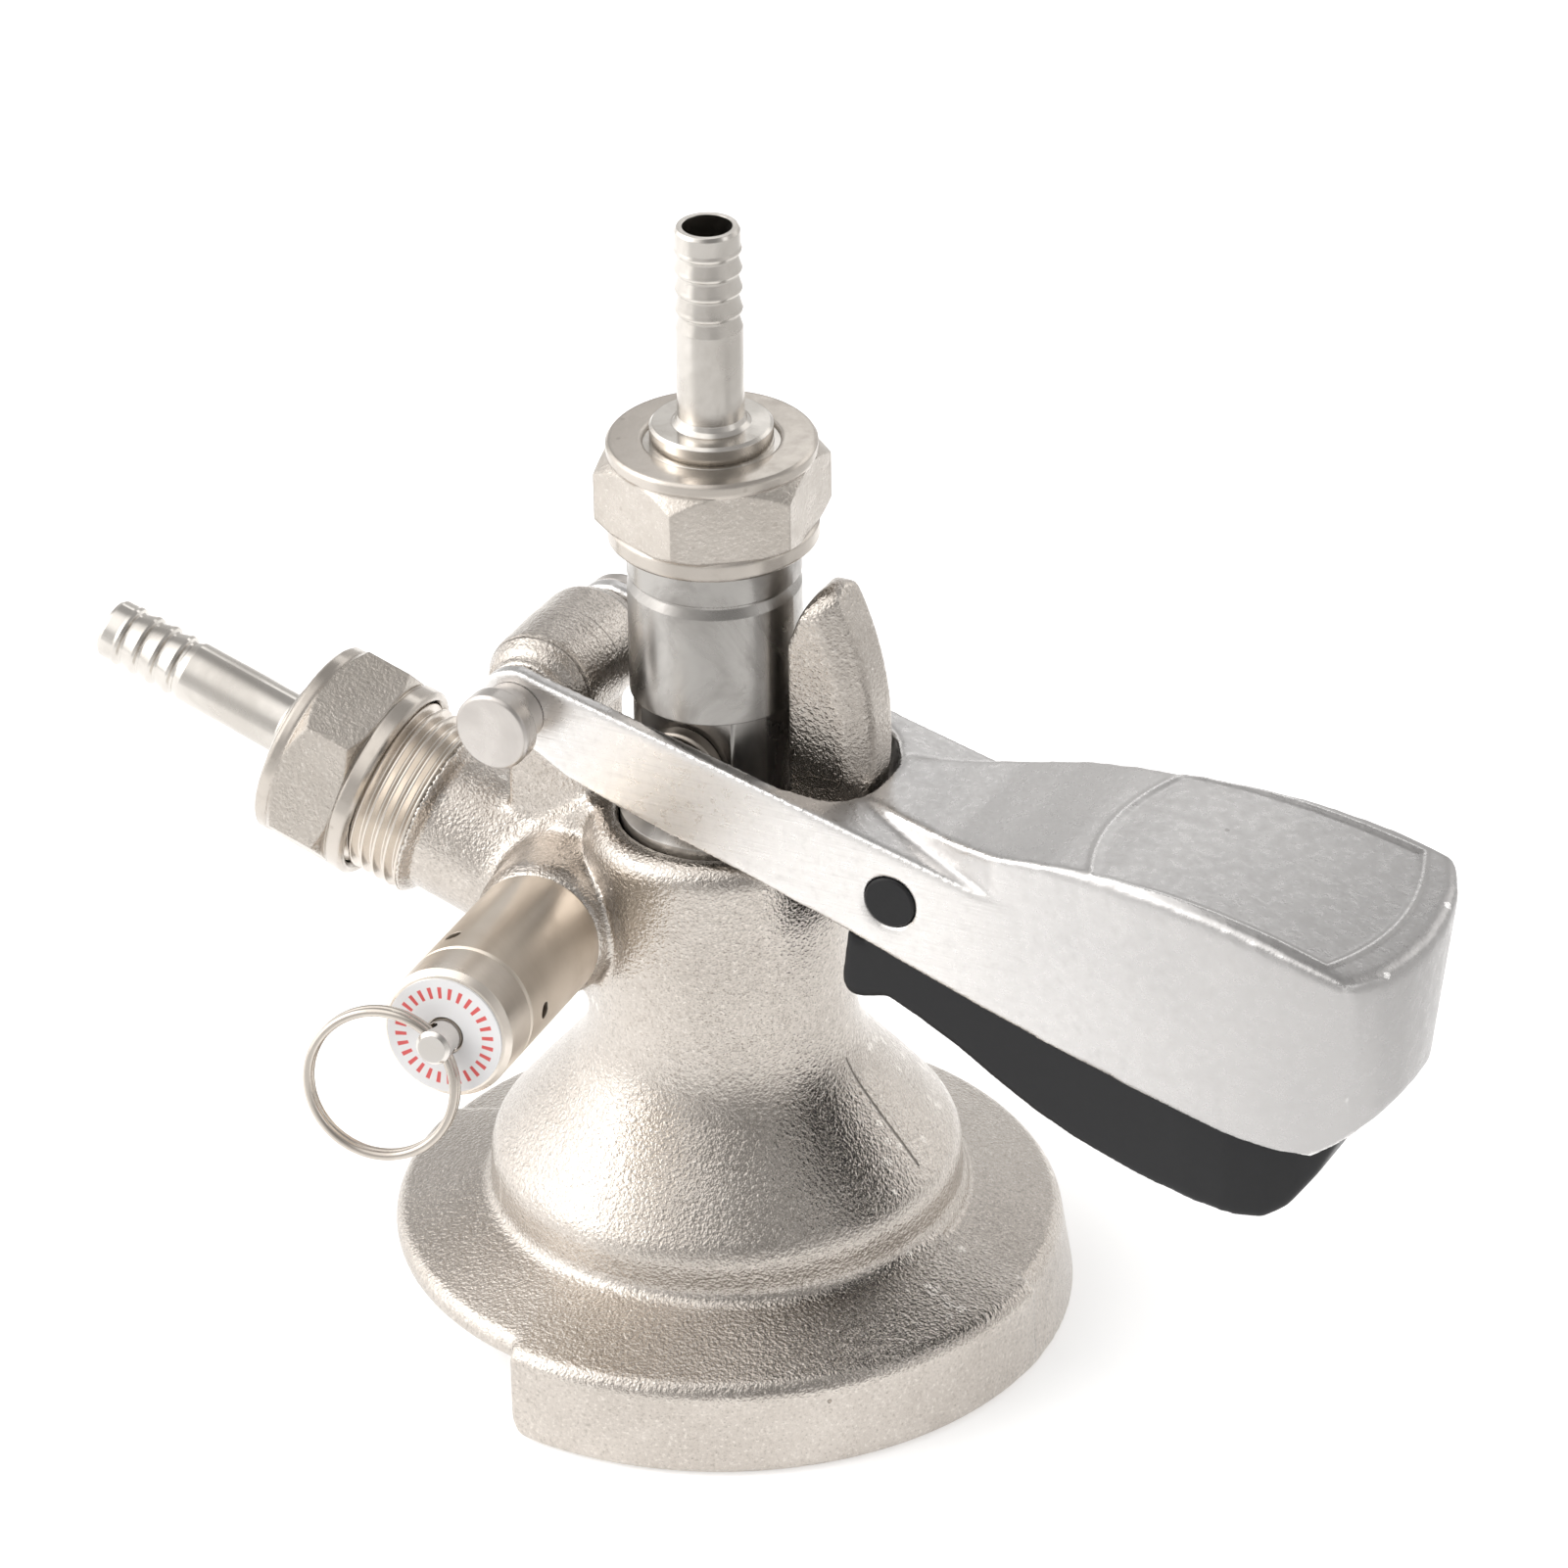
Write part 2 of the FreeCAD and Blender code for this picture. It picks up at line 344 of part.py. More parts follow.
fork = fork.cut(cyl(2.02, V(TRIG.x, -20, TRIG.z), V(TRIG.x, 20, TRIG.z)))
for sy in (-1, 1):
    fork = fork.cut(cyl(2.0, V(ROLLER.x, sy * 11.0, ROLLER.z), V(ROLLER.x, sy * 13.6, ROLLER.z)))
if len(fork.Solids) > 1:
    fork = max(fork.Solids, key=lambda q: q.Volume)
fork = fork.removeSplitter()
save("handle_fork", fork)

pin = rev([(0, -21.3), (5.05, -21.3), (5.45, -20.9), (5.45, -18.6), (5.1, -18.2), (4.3, -18.2), (4.3, -14.62), (2.98, -14.62), (2.98, 16.2), (2.3, 16.2),
           (2.3, 17.0), (2.98, 17.0), (2.98, 17.9), (2.5, 18.4), (0, 18.4)], V(PIVOT.x, 0, PIVOT.z), V(0, 1, 0))
save("pivot_pin", pin)
clip = rev([(2.32, 16.22), (5.2, 16.22), (5.2, 16.98), (2.32, 16.98)], V(PIVOT.x, 0, PIVOT.z), V(0, 1, 0))
clip = clip.cut(box(PIVOT.x - 1.7, 15, PIVOT.z - 8, PIVOT.x + 1.7, 18, PIVOT.z))
save("pivot_retaining_clip", clip)
save("pivot_washer", rev([(3.1, 14.6), (5.6, 14.6), (5.6, 16.15), (3.1, 16.15)], V(PIVOT.x, 0, PIVOT.z), V(0, 1, 0)))


def roller(sy):
    r = rev([(0, 9.15), (ROLLER_R - 0.4, 9.15), (ROLLER_R, 9.55), (ROLLER_R, 11.3), (ROLLER_R - 0.3, 11.6), (1.96, 11.6), (1.96, 13.5), (0, 13.5)],
            V(ROLLER.x, 0, ROLLER.z), V(0, sy, 0))
    return r


save("drive_rollers", Part.Compound([roller(-1), roller(1)]))

# ---------------------------------------------------------------- trigger group
t_side = [(25.2, 69.9), (28.6, 68.9), (28.6, 79.3), (29.9, 80.6), (37.0, 80.6), (44.0, 73.5), (52.0, 69.0), (60.0, 65.5), (75.0, 61.2), (88.0, 58.0), (92.4, 56.6),
          (93.2, 52.6), (92.6, 49.8), (90.6, 45.6), (87.4, 41.2), (84.6, 39.7), (81.3, 39.9), (75.6, 41.0), (67.1, 43.3), (58.5, 46.3), (52.7, 49.0),
          (47.0, 52.3), (41.2, 56.0), (35.4, 59.0), (31.0, 61.0), (27.6, 60.0), (26.0, 59.8), (24.8, 60.6), (24.2, 62.2)]
XT = [24.0, 30.0, 36.0, 42.0, 48.0, 60.0, 68.0, 74.0, 80.0, 85.0, 89.0]
WT = [12.5, 12.5, 12.5, 12.5, 12.5, 12.4, 12.3, 12.2, 11.6, 10.0, 7.4]
tp = [(x, -w) for x, w in zip(XT, WT)] + [(92.0, -4.2), (93.3, 0.0), (92.0, 4.2)] + [(x, w) for x, w in reversed(list(zip(XT, WT)))]
trig = prism_y(t_side, -16, 16).common(prism_z(tp, 30, 90))
# hollowed from above, with two cheeks at the pin and a tongue that meets the lock post
th_side = [(30.4, 90), (30.4, 64.0), (36.0, 62.0), (48.0, 55.5), (60.0, 49.5), (75.0, 44.8), (84.0, 43.6), (88.5, 49.0), (89.6, 54.0), (89.6, 90)]
tin = [(x, -(w - 2.2)) for x, w in zip(XT, WT)] + [(89.6, 0.0)] + [(x, w - 2.2) for x, w in reversed(list(zip(XT, WT)))]
trig = trig.cut(prism_y(th_side, -16, 16).common(prism_z(tin, 30, 95)))
tongue = prism_y([(19.2, 69.0), (19.2, 71.4), (21.0, 71.8), (24.0, 70.8), (28.7, 69.2), (30.0, 67.4), (26.0, 66.8)], -3.4, 3.4)
tongue = tongue.cut(pivot_rev([(0, -8), (48.1, -8), (48.1, 8), (0, 8)]))
trig = trig.fuse(tongue)
# window for the torsion spring round the pin
trig = trig.cut(cyl(4.3, V(TRIG.x, -4.6, TRIG.z), V(TRIG.x, 4.6, TRIG.z)))
trig = trig.cut(cyl(2.06, V(TRIG.x, -20, TRIG.z), V(TRIG.x, 20, TRIG.z)))
if len(trig.Solids) > 1:
    trig = max(trig.Solids, key=lambda q: q.Volume)
trig = trig.removeSplitter()
save("trigger", trig)
save("trigger_pin", cyl(1.98, V(TRIG.x, -13.2, TRIG.z), V(TRIG.x, 13.2, TRIG.z)))


def cap(sy):
    return rev([(0, 13.32), (3.63, 13.32), (3.63, 14.3), (3.35, 14.5), (0, 14.5)], V(TRIG.x, 0, TRIG.z), V(0, sy, 0))


save("trigger_pin_caps", Part.Compound([cap(-1), cap(1)]))
# torsion spring on the trigger pin, with one leg to the grip roof and one to the trigger floor
helix = Part.makeHelix(1.15, 1.15 * 6, 2.9)
prof = Part.Wire(Part.makeCircle(0.45, V(2.9, 0, 0), V(0, 1, 0)))
ts = Part.Wire(helix.Edges).makePipeShell([prof], True, True)
ts.Placement = FreeCAD.Placement(V(TRIG.x, 3.45, TRIG.z), FreeCAD.Rotation(V(0, 0, 1), V(0, -1, 0)))
save("trigger_spring", ts)
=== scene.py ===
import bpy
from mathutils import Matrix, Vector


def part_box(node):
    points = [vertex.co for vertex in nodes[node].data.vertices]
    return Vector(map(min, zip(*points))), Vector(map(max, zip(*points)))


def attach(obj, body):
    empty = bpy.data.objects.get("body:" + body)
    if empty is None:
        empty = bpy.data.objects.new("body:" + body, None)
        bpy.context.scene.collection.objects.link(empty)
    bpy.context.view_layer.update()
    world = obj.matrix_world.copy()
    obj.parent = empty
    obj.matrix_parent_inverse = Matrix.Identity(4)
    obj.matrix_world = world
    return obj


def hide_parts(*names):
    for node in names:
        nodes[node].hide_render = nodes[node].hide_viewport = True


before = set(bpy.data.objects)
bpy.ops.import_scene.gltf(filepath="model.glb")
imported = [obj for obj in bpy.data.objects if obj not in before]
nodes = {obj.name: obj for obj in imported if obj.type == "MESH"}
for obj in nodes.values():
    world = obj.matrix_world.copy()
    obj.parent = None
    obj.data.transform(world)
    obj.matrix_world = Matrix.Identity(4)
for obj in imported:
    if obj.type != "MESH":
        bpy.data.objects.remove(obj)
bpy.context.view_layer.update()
import math

import bpy
import numpy as np
from mathutils import Matrix, Vector

scene = bpy.context.scene

# ------------------------------------------------------------------ axes of the angled groups (row frame)
GAS_O = Vector((0.0, 0.0, 0.0509))
GAS_D = Vector((-0.9526614812535863, 0.0, 0.30403306092549026))
PRV_O = Vector((-0.0204, 0.0, 0.0593))
PRV_D = Vector((0.1278895849975242, -0.9846952596303254, 0.11840396830650095))


# ------------------------------------------------------------------ material helpers
class Mat:
    def __init__(self, name):
        self.m = bpy.data.materials.new(name)
        self.m.use_nodes = True
        self.nt = self.m.node_tree
        self.nt.nodes.clear()
        self.out = self.n("ShaderNodeOutputMaterial")
        self.b = self.n("ShaderNodeBsdfPrincipled")
        self.l(self.b.outputs[0], self.out.inputs[0])
        self.tc = self.n("ShaderNodeTexCoord")
        self.obj = self.tc.outputs["Object"]
        self.normal = None

    def n(self, kind, **props):
        node = self.nt.nodes.new(kind)
        for k, v in props.items():
            setattr(node, k, v)
        return node

    def l(self, a, b):
        self.nt.links.new(a, b)

    def put(self, sock, v):
        if isinstance(v, (int, float)):
            sock.default_value = v
        elif isinstance(v, (tuple, list, Vector)):
            sock.default_value = tuple(v) if len(v) != 3 or sock.type == "VECTOR" else (*v, 1.0)
        else:
            self.l(v, sock)

    def mapped(self, scale):
        mp = self.n("ShaderNodeMapping")
        self.l(self.obj, mp.inputs["Vector"])
        mp.inputs["Scale"].default_value = scale
        return mp.outputs[0]

    def noise(self, scale, detail=3.0, rough=0.5, vec=None, dist=0.0):
        t = self.n("ShaderNodeTexNoise")
        self.l(vec if vec is not None else self.obj, t.inputs["Vector"])
        t.inputs["Scale"].default_value = scale
        t.inputs["Detail"].default_value = detail
        t.inputs["Roughness"].default_value = rough
        t.inputs["Distortion"].default_value = dist
        return t.outputs["Fac"]

    def voronoi(self, scale, vec=None, feature="F1"):
        t = self.n("ShaderNodeTexVoronoi", feature=feature)
        self.l(vec if vec is not None else self.obj, t.inputs["Vector"])
        t.inputs["Scale"].default_value = scale
        return t.outputs["Distance"]

    def math(self, op, a, b=None, c=None, clamp=False):
        t = self.n("ShaderNodeMath", operation=op, use_clamp=clamp)
        for i, v in enumerate((a, b, c)):
            if v is not None:
                self.put(t.inputs[i], v)
        return t.outputs[0]

    def dot(self, vec, const, offset=0.0):
        t = self.n("ShaderNodeVectorMath", operation="DOT_PRODUCT")
        self.l(vec, t.inputs[0])
        t.inputs[1].default_value = tuple(const)
        return self.math("SUBTRACT", t.outputs["Value"], offset)

    def xyz(self):
        t = self.n("ShaderNodeSeparateXYZ")
        self.l(self.obj, t.inputs[0])
        return t.outputs

    def remap(self, v, a, b, c=0.0, d=1.0, smooth=True):
        t = self.n("ShaderNodeMapRange", interpolation_type="SMOOTHSTEP" if smooth else "LINEAR")
        self.l(v, t.inputs["Value"])
        for k, x in zip(("From Min", "From Max", "To Min", "To Max"), (a, b, c, d)):
            t.inputs[k].default_value = x
        return t.outputs[0]

    def mix(self, f, a, b):
        t = self.n("ShaderNodeMix", data_type="RGBA")
        self.put(t.inputs[0], f)
        self.put(t.inputs[6], a)
        self.put(t.inputs[7], b)
        return t.outputs[2]

    def bevel(self, r):
        t = self.n("ShaderNodeBevel", samples=4)
        t.inputs["Radius"].default_value = r
        self.normal = t.outputs[0]

    def bump(self, height, dist, strength=1.0):
        t = self.n("ShaderNodeBump")
        self.put(t.inputs["Strength"], strength)
        t.inputs["Distance"].default_value = dist
        self.l(height, t.inputs["Height"])
        if self.normal is not None:
            self.l(self.normal, t.inputs["Normal"])
        self.normal = t.outputs[0]

    def point(self):
        g = self.n("ShaderNodeNewGeometry")
        return g.outputs["Pointiness"]

    def done(self, base, rough, metallic=1.0, **extra):
        self.put(self.b.inputs["Base Color"], base)
        self.put(self.b.inputs["Roughness"], rough)
        self.b.inputs["Metallic"].default_value = metallic
        for k, v in extra.items():
            self.put(self.b.inputs[k.replace("_", " ")], v)
        if self.normal is not None:
            self.l(self.normal, self.b.inputs["Normal"])
        return self.m


def cast_body():
    m = Mat("nickel_casting_grain")
    x, y, z = m.xyz()
    blotch = m.noise(55.0, 4.0, 0.55)
    mottled = m.noise(520.0, 4.0, 0.65)
    speck = m.noise(1900.0, 3.0, 0.7)
    base = m.mix(m.remap(blotch, 0.35, 0.68), (0.60, 0.556, 0.51), (0.53, 0.488, 0.445))
    base = m.mix(m.remap(mottled, 0.50, 0.76, 0.0, 0.22), base, (0.42, 0.38, 0.335))
    base = m.mix(m.remap(speck, 0.53, 0.70, 0.0, 0.5), base, (0.84, 0.80, 0.75))
    base = m.mix(m.remap(speck, 0.46, 0.30, 0.0, 0.5), base, (0.30, 0.265, 0.23))
    # lighter colour along convex edges: partly worn polish, partly painted highlight
    edge_wear_and_highlight = m.remap(m.point(), 0.515, 0.56)
    base = m.mix(m.math("MULTIPLY", edge_wear_and_highlight, 0.75), base, (0.80, 0.76, 0.71))
    # casting flash line down the cone on the lever side
    line = m.math("ABSOLUTE", m.math("ADD", y, 0.0009))
    line = m.remap(line, 0.00010, 0.00028, 1.0, 0.0)
    line = m.math("MULTIPLY", line, m.math("GREATER_THAN", x, 0.0190))
    line = m.math("MULTIPLY", line, m.math("GREATER_THAN", z, 0.0275))
    line = m.math("MULTIPLY", line, m.math("LESS_THAN", z, 0.0420))
    base = m.mix(m.math("MULTIPLY", line, 0.75), base, (0.10, 0.085, 0.07))
    # ring lines turned into the hinge knuckle
    ay = m.math("ABSOLUTE", y)
    ring = m.remap(m.math("ABSOLUTE", m.math("SUBTRACT", ay, 0.0078)), 0.00008, 0.00022, 1.0, 0.0)
    seam = m.remap(m.math("ABSOLUTE", m.math("SUBTRACT", y, 0.0006)), 0.00005, 0.00014, 0.7, 0.0)
    ring = m.math("MULTIPLY", m.math("MAXIMUM", ring, seam), m.math("MULTIPLY", m.math("LESS_THAN", x, -0.0135), m.math("GREATER_THAN", z, 0.0880)))
    base = m.mix(m.math("MULTIPLY", ring, 0.6), base, (0.16, 0.14, 0.12))
    line = m.math("MAXIMUM", line, ring)
    # small casting pits
    pit = m.math("MULTIPLY", m.remap(m.voronoi(150.0), 0.03, 0.055, 1.0, 0.0), m.remap(m.noise(33.0, 1.0), 0.55, 0.60))
    base = m.mix(m.math("MULTIPLY", pit, 0.55), base, (0.20, 0.16, 0.12))
    m.bump(m.noise(70.0, 2.0, 0.45), 0.00020, 0.45)
    m.bump(m.noise(620.0, 2.0, 0.5), 0.00009, 0.7)
    m.bump(m.noise(1900.0, 2.0, 0.6), 0.00017, 1.0)
    m.bump(m.voronoi(2300.0), 0.00005, 0.8)
    m.bump(m.math("ADD", m.math("MULTIPLY", pit, -1.0), m.math("MULTIPLY", line, -1.0)), 0.00015, 1.0)
    rough = m.math("ADD", m.remap(mottled, 0.3, 0.7, 0.15, 0.25), m.math("MULTIPLY", edge_wear_and_highlight, -0.04))
    return m.done(base, rough)


def cast_handle():
    m = Mat("handle_casting_satin")
    x, y, z = m.xyz()
    blotch = m.noise(38.0, 5.0, 0.6, dist=0.4)
    fine = m.noise(620.0, 4.0, 0.68)
    base = m.mix(m.remap(blotch, 0.36, 0.66), (0.66, 0.648, 0.64), (0.60, 0.59, 0.585))
    # outer side faces of the arms painted lighter: painted light, as if lit by the bright floor below
    side = m.math("MULTIPLY", m.remap(m.math("ABSOLUTE", y), 0.0140, 0.0144), m.remap(x, 0.062, 0.035))
    base = m.mix(m.math("MULTIPLY", side, 0.85), base, (0.88, 0.86, 0.84))
    # grip painted darker towards its end: painted shade
    base = m.mix(m.remap(x, 0.058, 0.100, smooth=False), base, (0.455, 0.447, 0.443))
    base = m.mix(m.remap(fine, 0.50, 0.75, 0.0, 0.22), base, (0.50, 0.485, 0.475))
    # lighter along the rims, partly worn polish, partly painted highlight; only along the rims, not at single points
    # on the flat sides
    side = m.math("ABSOLUTE", m.dot(m.n("ShaderNodeNewGeometry").outputs["True Normal"], (0.0, 1.0, 0.0)))
    edge_wear_and_highlight = m.math("MULTIPLY", m.remap(m.point(), 0.508, 0.54), m.remap(side, 0.95, 0.88))
    base = m.mix(edge_wear_and_highlight, base, (0.95, 0.94, 0.93))
    pit = m.math("MULTIPLY", m.remap(m.voronoi(110.0), 0.02, 0.04, 1.0, 0.0), m.remap(m.noise(41.0, 1.0), 0.54, 0.60))
    base = m.mix(m.math("MULTIPLY", pit, 0.6), base, (0.28, 0.26, 0.24))
    # fine brushed lines on the arms' outer faces, along the lever
    flat = m.math("MULTIPLY", m.remap(m.math("ABSOLUTE", y), 0.0141, 0.0144), m.remap(x, 0.060, 0.044))
    brush = m.noise(1.0, 4.0, 0.7, vec=m.mapped((90.0, 1500.0, 2900.0)))
    base = m.mix(m.math("MULTIPLY", flat, m.remap(brush, 0.50, 0.72, 0.0, 0.4)), base, (0.68, 0.66, 0.645))
    m.bump(m.noise(60.0, 3.0, 0.5), 0.0003, 0.5)
    m.bump(m.noise(420.0, 3.0, 0.6), 0.00005, m.math("SUBTRACT", 0.8, m.math("MULTIPLY", flat, 0.6)))
    m.bump(m.noise(1300.0, 3.0, 0.66), 0.00006, m.math("ADD", m.math("SUBTRACT", 0.75, m.math("MULTIPLY", flat, 0.6)), m.math("MULTIPLY", edge_wear_and_highlight, 2.2)))
    m.bump(brush, 0.00006, m.math("MULTIPLY", flat, 0.9))
    m.bump(m.math("MULTIPLY", pit, -1.0), 0.00014, 0.9)
    rough = m.math("ADD", m.remap(fine, 0.3, 0.7, 0.25, 0.36), m.math("MULTIPLY", edge_wear_and_highlight, -0.10))
    return m.done(base, rough)


def nut(name, origin, axis, s_hex0, s_hex1):
    """Union nut: cast grain on the hexagon, smooth turned ring and face."""
    m = Mat(name)
    s = m.dot(m.obj, axis, Vector(origin).dot(Vector(axis)))
    hexa = m.math("MULTIPLY", m.remap(s, s_hex0, s_hex0 + 0.0003), m.remap(s, s_hex1 + 0.0003, s_hex1))
    mott = m.noise(380.0, 4.0, 0.6)
    base = m.mix(m.remap(m.noise(90.0, 3.0), 0.35, 0.65), (0.61, 0.565, 0.515), (0.55, 0.508, 0.46))
    base = m.mix(m.remap(mott, 0.5, 0.75, 0.0, 0.25), base, (0.43, 0.385, 0.34))
    speck = m.noise(1900.0, 3.0, 0.7)
    base = m.mix(m.math("MULTIPLY", hexa, m.remap(speck, 0.52, 0.72, 0.0, 0.45)), base, (0.84, 0.80, 0.75))
    pit = m.remap(m.voronoi(260.0), 0.06, 0.1, 1.0, 0.0)
    base = m.mix(m.math("MULTIPLY", pit, 0.3), base, (0.3, 0.26, 0.22))
    m.bevel(0.00055)
    m.bump(m.noise(300.0, 2.0, 0.5), 0.00010, m.math("MULTIPLY", hexa, 0.7))
    m.bump(m.noise(1800.0, 2.0, 0.6), 0.00012, m.math("ADD", 0.04, m.math("MULTIPLY", hexa, 0.8)))
    rough = m.math("ADD", m.remap(mott, 0.3, 0.7, 0.17, 0.25), m.math("MULTIPLY", hexa, 0.08))
    return m.done(base, rough)


def turned(name, axis, col_a, col_b, r0, r1, lines=26000.0, bev=0.0002, smear=0.5, blot=60.0):
    """Turned and polished metal with lathe lines across its axis and a few smears."""
    m = Mat(name)
    s = m.dot(m.obj, axis)
    comb = m.n("ShaderNodeCombineXYZ")
    m.l(m.math("MULTIPLY", s, lines), comb.inputs[0])
    groove = m.noise(1.0, 3.0, 0.6, vec=comb.outputs[0])
    smr = m.noise(blot, 5.0, 0.62, dist=0.7)
    base = m.mix(m.remap(smr, 0.38, 0.66), col_a, col_b)
    base = m.mix(m.remap(groove, 0.55, 0.8, 0.0, 0.18), base, tuple(c * 0.6 for c in col_b))
    m.bevel(bev)
    m.bump(groove, 0.0000035, 0.7)
    m.bump(m.noise(260.0, 4.0, 0.6), 0.00002, 0.35)
    rough = m.remap(smr, 0.5 - 0.2 * smear, 0.5 + 0.25 * smear, r0, r1)
    return m.done(base, rough)


def plastic(name, col_a, col_b, r0, r1, grain=0.00002, bev=0.0003):
    m = Mat(name)
    n1 = m.noise(140.0, 4.0, 0.6)
    base = m.mix(m.remap(n1, 0.35, 0.7), col_a, col_b)
    if bev:
        m.bevel(bev)
    m.bump(m.noise(1500.0, 2.0, 0.5), grain, 0.6)
    m.bump(m.noise(45.0, 2.0, 0.5), 0.0002, 0.25)
    return m.done(base, m.remap(n1, 0.3, 0.7, r0, r1), 0.0, Specular_IOR_Level=0.35)


def disc_material():
    """White disc with a plain dashed red ring."""
    m = Mat("white_disc_red_dashes")
    c = PRV_O + PRV_D * 0.0534
    e1 = Vector((0, 0, 1)) - PRV_D * PRV_D.z
    e1.normalize()
    e2 = PRV_D.cross(e1)
    u = m.dot(m.obj, e1, c.dot(e1))
    v = m.dot(m.obj, e2, c.dot(e2))
    r = m.math("SQRT", m.math("ADD", m.math("MULTIPLY", u, u), m.math("MULTIPLY", v, v)))
    ang = m.math("ARCTAN2", u, v)
    f = m.math("FRACT", m.math("ADD", m.math("MULTIPLY", ang, 28 / (2 * math.pi)), 14.0))
    dash = m.math("MULTIPLY", m.remap(f, 0.28, 0.34), m.remap(f, 0.72, 0.66))
    band = m.math("MULTIPLY", m.remap(r, 0.00525, 0.0054), m.remap(r, 0.0070, 0.00685))
    ink = m.math("MULTIPLY", dash, band)
    white = m.mix(m.noise(300.0, 3.0), (0.83, 0.83, 0.84), (0.90, 0.90, 0.91))
    base = m.mix(m.math("MULTIPLY", ink, 0.95), white, (0.75, 0.075, 0.07))
    return m.done(base, 0.34, 0.0, Specular_IOR_Level=0.5)


M_BODY = cast_body()
M_HANDLE = cast_handle()
M_NUT_B = nut("nickel_nut_beer", (0, 0, 0), (0, 0, 1), 0.1209, 0.1300)
M_NUT_G = nut("nickel_nut_gas", GAS_O, GAS_D, 0.0559, 0.0651)
M_PROBE = turned("probe_stainless", (0, 0, 1), (0.47, 0.455, 0.435), (0.32, 0.305, 0.29), 0.22, 0.36, smear=0.7, blot=75.0)
M_TAIL_B = turned("beer_tail_stainless", (0, 0, 1), (0.70, 0.67, 0.63), (0.58, 0.55, 0.51), 0.16, 0.28)
M_TAIL_G = turned("gas_tail_stainless", GAS_D, (0.70, 0.67, 0.63), (0.58, 0.55, 0.51), 0.16, 0.28)
M_PRV = turned("relief_valve_nickel", PRV_D, (0.80, 0.725, 0.635), (0.72, 0.645, 0.555), 0.30, 0.40, lines=16000.0, bev=0.00025)
M_CAP = turned("relief_cap_nickel", PRV_D, (0.84, 0.775, 0.70), (0.75, 0.685, 0.61), 0.26, 0.36, lines=16000.0, bev=0.00022)
M_STEM = turned("relief_stem_stainless", PRV_D, (0.78, 0.75, 0.72), (0.70, 0.67, 0.63), 0.12, 0.22)
M_RING = turned("pull_ring_nickel_wire", (0.3, 0.4, 0.86), (0.66, 0.61, 0.55), (0.56, 0.51, 0.46), 0.15, 0.26, lines=3000.0, bev=0.0001)
M_PIN = turned("pivot_pin_stainless", (1, 0, 0), (0.62, 0.59, 0.56), (0.53, 0.50, 0.475), 0.24, 0.36, lines=9000.0, bev=0.0004)
M_WIRE = turned("spring_wire", (0.4, 0.3, 0.86), (0.6, 0.59, 0.57), (0.5, 0.49, 0.47), 0.2, 0.3)
M_BLACK = plastic("trigger_black_plastic", (0.0085, 0.0088, 0.0102), (0.0125, 0.0128, 0.0145), 0.36, 0.48, bev=0)
M_CAPS = plastic("pin_cap_black_plastic", (0.007, 0.0073, 0.0085), (0.011, 0.0113, 0.013), 0.40, 0.52, grain=0.00004)
M_BALL = plastic("check_ball_polymer", (0.10, 0.095, 0.09), (0.14, 0.135, 0.13), 0.3, 0.4, bev=0)
# rollers darker than the other steel parts: partly painted shade of the boss on the fork's inner face
M_ROLLER = turned("roller_steel", (0, 1, 0), (0.40, 0.36, 0.32), (0.30, 0.27, 0.24), 0.3, 0.42, lines=9000.0, bev=0.0004)
M_ROLL = plastic("retainer_acetal", (0.78, 0.77, 0.73), (0.85, 0.84, 0.80), 0.3, 0.42)
M_RUBBER = plastic("seal_rubber_black", (0.022, 0.022, 0.022), (0.035, 0.034, 0.033), 0.55, 0.7, grain=0.00005)
M_DISC = disc_material()

ASSIGN = {
    "keg_face_seal": (M_RUBBER, "seal_rubber"), "duckbill_valve": (M_RUBBER, "seal_rubber"), "gas_washer": (M_RUBBER, "seal_rubber"),
    "relief_valve_body": (M_PRV, "machined_nickel"), "relief_valve_cap": (M_CAP, "machined_nickel"), "relief_disc": (M_DISC, "disc_white"),
    "relief_spring": (M_WIRE, "stainless_turned"), "relief_o_ring": (M_RUBBER, "seal_rubber"),
    "probe": (M_PROBE, "stainless_turned"), "probe_bottom_seal": (M_RUBBER, "seal_rubber"), "probe_o_ring": (M_RUBBER, "seal_rubber"),
    "ball_retainer": (M_ROLL, "white_plastic"), "beer_washer": (M_RUBBER, "seal_rubber"), "check_ball": (M_BALL, "black_plastic"),
    "beer_hex_nut": (M_NUT_B, "machined_nickel"), "beer_tailpiece": (M_TAIL_B, "stainless_turned"),
    "gas_hex_nut": (M_NUT_G, "machined_nickel"), "gas_tailpiece": (M_TAIL_G, "stainless_turned"),
    "pivot_pin": (M_PIN, "stainless_turned"), "pivot_retaining_clip": (M_WIRE, "stainless_turned"), "pivot_washer": (M_PIN, "stainless_turned"),
    "drive_rollers": (M_ROLLER, "stainless_turned"), "trigger_pin": (M_PIN, "stainless_turned"), "trigger_pin_caps": (M_CAPS, "black_plastic"),
    "trigger_spring": (M_WIRE, "stainless_turned"), "relief_stem": (M_STEM, "stainless_turned"), "relief_poppet": (M_PRV, "stainless_turned"),
    "pull_ring": (M_RING, "stainless_turned"),
}


def assign(o, mat):
    o.data.materials.clear()
    o.data.materials.append(mat)


for name, (mat, slot) in ASSIGN.items():
    assign(nodes[name], mat)


# ------------------------------------------------------------------ cast parts with rounded edges
def read(me):
    p = np.empty(len(me.vertices) * 3)
    me.vertices.foreach_get("co", p)
    return p.reshape(-1, 3)


def write(me, p):
    me.vertices.foreach_set("co", p.astype(np.float32).ravel())
    me.update()


